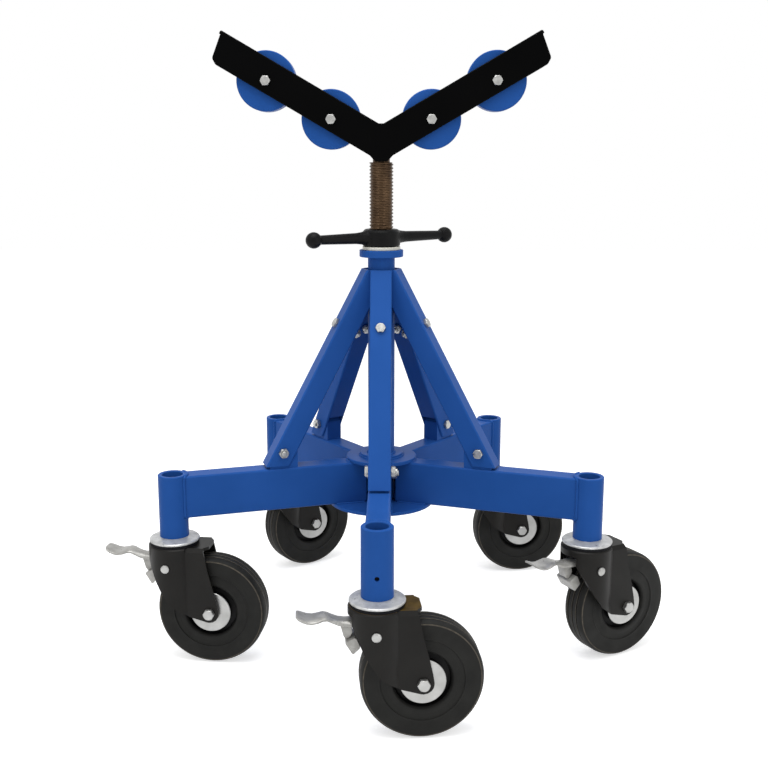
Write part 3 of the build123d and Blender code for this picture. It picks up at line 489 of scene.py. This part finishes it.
def caster_place(side):
    """Where a point of a caster, (trailing, across, up) from its swivel axis, stands."""
    swivel = Vector(joints["swivel_" + side]["pos_m"])
    wheel = Vector(joints["wheel_spin_" + side]["pos_m"])
    trailing = Vector((wheel.x - swivel.x, wheel.y - swivel.y, 0)).normalized()
    across = Vector((-trailing.y, trailing.x, 0))
    foot = Vector((swivel.x, swivel.y, 0))
    return foot, trailing, across


for side in sides:
    fork = dressed("fork_" + side, fork_black, 0.9 * mm, 3)
    foot, trailing, across = caster_place(side)
    creases = fork.data.attributes.new("bevel_weight_edge", "FLOAT", "EDGE")
    for edge in fork.data.edges:
        one, two = (fork.data.vertices[v].co for v in edge.vertices)
        level = Vector((one.x - two.x, one.y - two.y, 0)).length
        middle = (one + two) / 2 - foot
        if level < 0.1 * mm and 29 * mm < middle.dot(trailing) < 35 * mm:
            creases.data[edge.index].value = 1.0
    crease = fork.modifiers.new("pressed crease", "BEVEL")
    crease.limit_method = "WEIGHT"
    crease.width = crease_round
    crease.segments = 5
    fork.modifiers.move(2, 0)
    # Only the front fork's upward faces near its top are coloured bronze.
    if side == "front":
        second_finish(fork, fork_bronze,
                      lambda middle, normal: middle.z > fork_top - 12 * mm and normal.z > 0.97)

# The axle sets: axle bolt and nut, a smooth zinc thread guard each side of the wheel, and the
# brake's bolt.
guard_zinc = finish_of("smooth zinc", (0.34, 0.34, 0.33), (0.46, 0.46, 0.45), 25 * mm,
                       (0.28, 0.4), 0.9 * mm, 0.02 * mm, metal=0.85)
for side in sides:
    dressed("axle_set_" + side, guard_zinc, 0.45 * mm)

# The wheels: a black rubber tyre moulded on a core. Its crown is round with three grooves, and
# its sides have a raised ring; the core is deep behind its thread guard. The lips of the grooves
# and the corner of the crown are brown, partly with dust and partly as a painted highlight.
tyre_rubber = finish_of("tyre rubber", (0.0085, 0.0085, 0.0078), (0.0135, 0.0135, 0.0122),
                        25 * mm, (0.5, 0.66), 0.9 * mm, 0.05 * mm, shine=0.17)
# Brown for the groove lips and the crown's corner: partly dust, partly a painted highlight on
# those edges.
groove_dust_and_highlight = finish_of("groove dust and painted highlight", (0.050, 0.044, 0.036), (0.100, 0.087, 0.068),
                        9 * mm, (0.6, 0.8), 0.9 * mm, 0.04 * mm, shine=0.2)
core_black = finish_of("wheel core", (0.0030, 0.0030, 0.0032), (0.0055, 0.0055, 0.0058),
                       20 * mm, (0.45, 0.6), 0.9 * mm, 0.03 * mm, shine=0.15)
tyre_r = joints["wheel_spin_front"]["pos_m"][2]
tyre_half = 25 * mm
seat_r = 48 * mm
mouth_r = 50.2 * mm
corner_r = 96.4 * mm
groove_deep = 2.4 * mm
groove_half = 1.5 * mm
groove_at = 12 * mm
lip = 0.9 * mm
lip_mark_near = 1.2 * mm
lip_mark_far = 2.4 * mm
core_seat = 19.5 * mm
side_outline = [(seat_r, core_seat), (seat_r, tyre_half - 5 * mm),
                (mouth_r, tyre_half - 1.6 * mm), (mouth_r + 1.4 * mm, tyre_half - 0.9 * mm),
                (mouth_r + 4.0 * mm, tyre_half - 1.0 * mm),
                (mouth_r + 8.0 * mm, tyre_half - 1.1 * mm),
                (mouth_r + 9.4 * mm, tyre_half - 2.0 * mm),
                (mouth_r + 18.6 * mm, tyre_half - 2.1 * mm),
                (mouth_r + 19.6 * mm, tyre_half - 0.3 * mm),
                (mouth_r + 21.4 * mm, tyre_half - 0.3 * mm),
                (mouth_r + 22.6 * mm, tyre_half - 1.0 * mm),
                (mouth_r + 33.0 * mm, tyre_half - 0.3 * mm),
                (tyre_r - 6.0 * mm, tyre_half - 0.2 * mm),
                (tyre_r - 4.2 * mm, tyre_half - 1.3 * mm),
                (tyre_r - 2.7 * mm, tyre_half - 2.5 * mm),
                (tyre_r - 1.5 * mm, tyre_half - 5.0 * mm),
                (tyre_r - 0.65 * mm, tyre_half - 7.1 * mm),
                (tyre_r - 0.1 * mm, tyre_half - 9.8 * mm)]
crown = []
for y in (groove_at, 0, -groove_at):
    crown += [(tyre_r, y + groove_half + lip), (tyre_r - 0.5 * mm, y + groove_half),
              (tyre_r - groove_deep, y + 0.8 * mm), (tyre_r - groove_deep, y - 0.8 * mm),
              (tyre_r - 0.5 * mm, y - groove_half), (tyre_r, y - groove_half - lip)]
tyre_outline = side_outline + crown + [(r, -y) for r, y in reversed(side_outline)]
core_outline = [(7 * mm, 24 * mm), (30 * mm, 24 * mm), (36 * mm, 11 * mm), (46.6 * mm, 10 * mm),
                (seat_r, core_seat)]
core_outline += [(r, -y) for r, y in reversed(core_outline)]
for side in sides:
    foot, trailing, across = caster_place(side)
    centre = Vector(joints["wheel_spin_" + side]["pos_m"])

    def on_axle(along, a, b):
        return centre + across * along + trailing * a + Vector((0, 0, b))

    work = bmesh.new()
    lathe(work, tyre_outline, on_axle, 144)
    bmesh.ops.recalc_face_normals(work, faces=work.faces)
    tyre = placed("tyre_" + side + "_moulded", work, tyre_rubber, "wheel_" + side,
                  ["tyre_" + side])
    rounded_over(tyre, 0.35 * mm, 2, 40)

    # Faces that get the brown of dust and painted highlight: the lips beside the grooves and a
    # band round the crown's corner.
    def dust_and_highlight_at(middle, normal):
        along = (middle - centre).dot(across)
        r = math.sqrt(max((middle - centre).length_squared - along * along, 0))
        off_groove = min(abs(abs(along) - groove_at), abs(along))
        on_lip = r > tyre_r - 0.6 * mm and lip_mark_near < off_groove < lip_mark_far
        on_corner = corner_r - 0.3 * mm < r < corner_r + 1.0 * mm
        return on_lip or on_corner

    second_finish(tyre, groove_dust_and_highlight, dust_and_highlight_at)
    work = bmesh.new()
    lathe(work, core_outline, on_axle, 96)
    bmesh.ops.recalc_face_normals(work, faces=work.faces)
    core = placed("wheel_core_" + side + "_moulded", work, core_black, "wheel_" + side,
                  ["wheel_core_" + side])
    rounded_over(core, 0.8 * mm)

# The foot brakes: a pressed zinc-plated pedal, wavy for the toe and round at its tip, with
# turned-down edges along its neck. A strut under the neck and a link carry a block that is
# pressed on the tyre. The pedal turns on a barrel round the brake's bolt.
pedal_zinc = finish_of("pedal zinc", (0.26, 0.255, 0.24), (0.41, 0.405, 0.385), 14 * mm,
                       (0.24, 0.36), 0.9 * mm, 0.02 * mm, metal=0.35)
pedal_thick = 3 * mm
# Stations of the pedal's top: trailing, up, half its width, how far its edges turn down
stations = ((-131.0, 214.1, 9.0, 0.6), (-130.0, 214.0, 14.0, 1.2), (-127.0, 213.1, 18.0, 2.0),
            (-121.0, 210.7, 20.0, 2.6), (-113.0, 208.1, 20.0, 3.0), (-105.0, 207.1, 20.0, 3.0),
            (-96.0, 208.5, 20.0, 2.6), (-88.0, 210.8, 18.5, 2.4), (-81.0, 210.7, 16.0, 3.0),
            (-73.0, 207.7, 14.5, 4.4), (-64.0, 204.4, 14.5, 5.4), (-54.0, 202.7, 15.0, 5.6),
            (-40.0, 202.5, 16.0, 5.6), (-24.0, 202.5, 18.0, 5.0), (-8.0, 202.1, 19.5, 4.0))
strut_outline = [(-61.0, 198.8), (-45.0, 200.4), (-40.5, 182.5), (-45.0, 174.5), (-51.0, 171.0),
                 (-55.0, 176.0)]
block_outline = [(-52.6, 167.6), (-42.2, 150.2), (-39.6, 149.0), (-29.8, 158.4), (-29.0, 161.6),
                 (-35.0, 175.6), (-37.6, 176.8), (-51.4, 170.2)]
link_outline = [(-50.5, 178.0), (-44.5, 179.0), (-41.0, 170.0), (-47.0, 167.0)]
edge_inset = 0.024
barrel_r = 9 * mm
barrel_bore_r = 5.1 * mm
barrel_half = 19.5 * mm


def slab(work, outline, half, at):
    """A straight-sided solid across the caster from an outline of (trailing, up) points."""
    near = [work.verts.new(at(x * mm, -half, z * mm)) for x, z in outline]
    far = [work.verts.new(at(x * mm, half, z * mm)) for x, z in outline]
    work.faces.new(near)
    work.faces.new(list(reversed(far)))
    for k in range(len(outline)):
        n = (k + 1) % len(outline)
        work.faces.new((near[k], far[k], far[n], near[n]))


for side in sides:
    foot, trailing, across = caster_place(side)

    def at(x, y, z):
        return foot + trailing * x + across * y + Vector((0, 0, z))

    work = bmesh.new()
    loops = []
    steps = 12
    for x, z, half, drop in stations:
        shares = [2 * k / steps - 1 for k in range(steps + 1)]
        upper = [at(x * mm, half * mm * v, (z - drop * abs(v) ** 5) * mm) for v in shares]
        lower = [p - Vector((0, 0, pedal_thick)) for p in reversed(upper)]
        lower = [p.lerp(lower[-1 - k], edge_inset) for k, p in enumerate(lower)]
        loops.append([work.verts.new(p) for p in upper + lower])
    for one, two in zip(loops, loops[1:]):
        for k in range(len(one)):
            n = (k + 1) % len(one)
            work.faces.new((one[k], one[n], two[n], two[k]))
    work.faces.new(loops[0])
    work.faces.new(list(reversed(loops[-1])))
    slab(work, strut_outline, 10 * mm, at)
    slab(work, block_outline, 19.5 * mm, at)
    slab(work, link_outline, 7 * mm, at)
    pivot = Vector(joints["brake_press_" + side]["pos_m"])
    lathe(work, [(barrel_bore_r, -barrel_half), (barrel_r, -barrel_half), (barrel_r, barrel_half),
                 (barrel_bore_r, barrel_half)],
          lambda along, a, b: pivot + across * along + trailing * a + Vector((0, 0, b)), 40)
    bmesh.ops.recalc_face_normals(work, faces=work.faces)
    pedal = placed("brake_" + side + "_pressed", work, pedal_zinc, "brake_" + side,
                   ["brake_" + side])
    rounded_over(pedal, 0.7 * mm, 3, 35)

# The floor, the light and the camera. A pale floor lifted to white for the camera, which keeps
# the stand's shadow; a white studio round it, three large soft lamps and the photo's viewpoint.
ground = bpy.data.meshes.new("floor")
reach = 9.0
ground.from_pydata([(-reach, -reach, 0), (reach, -reach, 0), (reach, reach, 0),
                    (-reach, reach, 0)], [], [(0, 1, 2, 3)])
floor = bpy.data.objects.new("floor", ground)
floor.location.z = -0.2 * mm
bpy.context.scene.collection.objects.link(floor)
pale = bpy.data.materials.new("pale floor")
pale.use_nodes = True
nodes, links = pale.node_tree.nodes, pale.node_tree.links
shader = nodes["Principled BSDF"]
shader.inputs["Base Color"].default_value = (0.8, 0.8, 0.8, 1)
shader.inputs["Roughness"].default_value = 0.9
shader.inputs["Specular IOR Level"].default_value = 0.0
light_path = nodes.new("ShaderNodeLightPath")
seen = nodes.new("ShaderNodeMath")
seen.operation = "MAXIMUM"
links.new(light_path.outputs["Is Camera Ray"], seen.inputs[0])
links.new(light_path.outputs["Is Glossy Ray"], seen.inputs[1])
lift = nodes.new("ShaderNodeMath")
lift.operation = "MULTIPLY"
lift.inputs[1].default_value = 0.55
links.new(seen.outputs[0], lift.inputs[0])
shader.inputs["Emission Color"].default_value = (1, 1, 1, 1)
links.new(lift.outputs[0], shader.inputs["Emission Strength"])
ground.materials.append(pale)

world = bpy.data.worlds.new("studio")
bpy.context.scene.world = world
world.use_nodes = True
nodes, links = world.node_tree.nodes, world.node_tree.links
sky = nodes["Background"]
sky.inputs["Color"].default_value = (1, 1, 1, 1)
light_path = nodes.new("ShaderNodeLightPath")
seen = nodes.new("ShaderNodeMath")
seen.operation = "MAXIMUM"
links.new(light_path.outputs["Is Camera Ray"], seen.inputs[0])
links.new(light_path.outputs["Is Glossy Ray"], seen.inputs[1])
through = nodes.new("ShaderNodeMath")
through.operation = "MAXIMUM"
links.new(seen.outputs[0], through.inputs[0])
links.new(light_path.outputs["Is Transmission Ray"], through.inputs[1])
strength = nodes.new("ShaderNodeMapRange")
strength.inputs["To Min"].default_value = 0.72
strength.inputs["To Max"].default_value = 1.0
links.new(through.outputs[0], strength.inputs["Value"])
links.new(strength.outputs["Result"], sky.inputs["Strength"])


def lamp(name, place, target, size, power):
    """A large soft lamp that looks at a point."""
    data = bpy.data.lights.new(name, "AREA")
    data.shape = "SQUARE"
    data.size = size
    data.energy = power
    made = bpy.data.objects.new(name, data)
    made.location = place
    made.rotation_euler = (Vector(target) - Vector(place)).to_track_quat("-Z", "Y").to_euler()
    bpy.context.scene.collection.objects.link(made)


middle = (column_x, column_y, 0.6)
lamp("overhead lamp", (-0.2, -0.5, 3.2), middle, 2.2, 58)
lamp("left lamp", (-2.2, -2.4, 1.9), middle, 1.8, 9)
lamp("right lamp", (2.4, -2.0, 1.6), middle, 1.8, 12)

camera_data = bpy.data.cameras.new("photo camera")
camera_data.sensor_width = 36
camera_data.lens = 50.39
camera_data.shift_x = 0.0057
camera_data.shift_y = -0.0184
camera = bpy.data.objects.new("photo camera", camera_data)
camera.location = (column_x + 0.0318, column_y - 2.0249, 0.928)
camera.rotation_euler = (math.radians(90 - 11.133), 0, math.radians(0.992))
bpy.context.scene.collection.objects.link(camera)
bpy.context.scene.camera = camera
bpy.context.scene.view_settings.view_transform = "Standard"
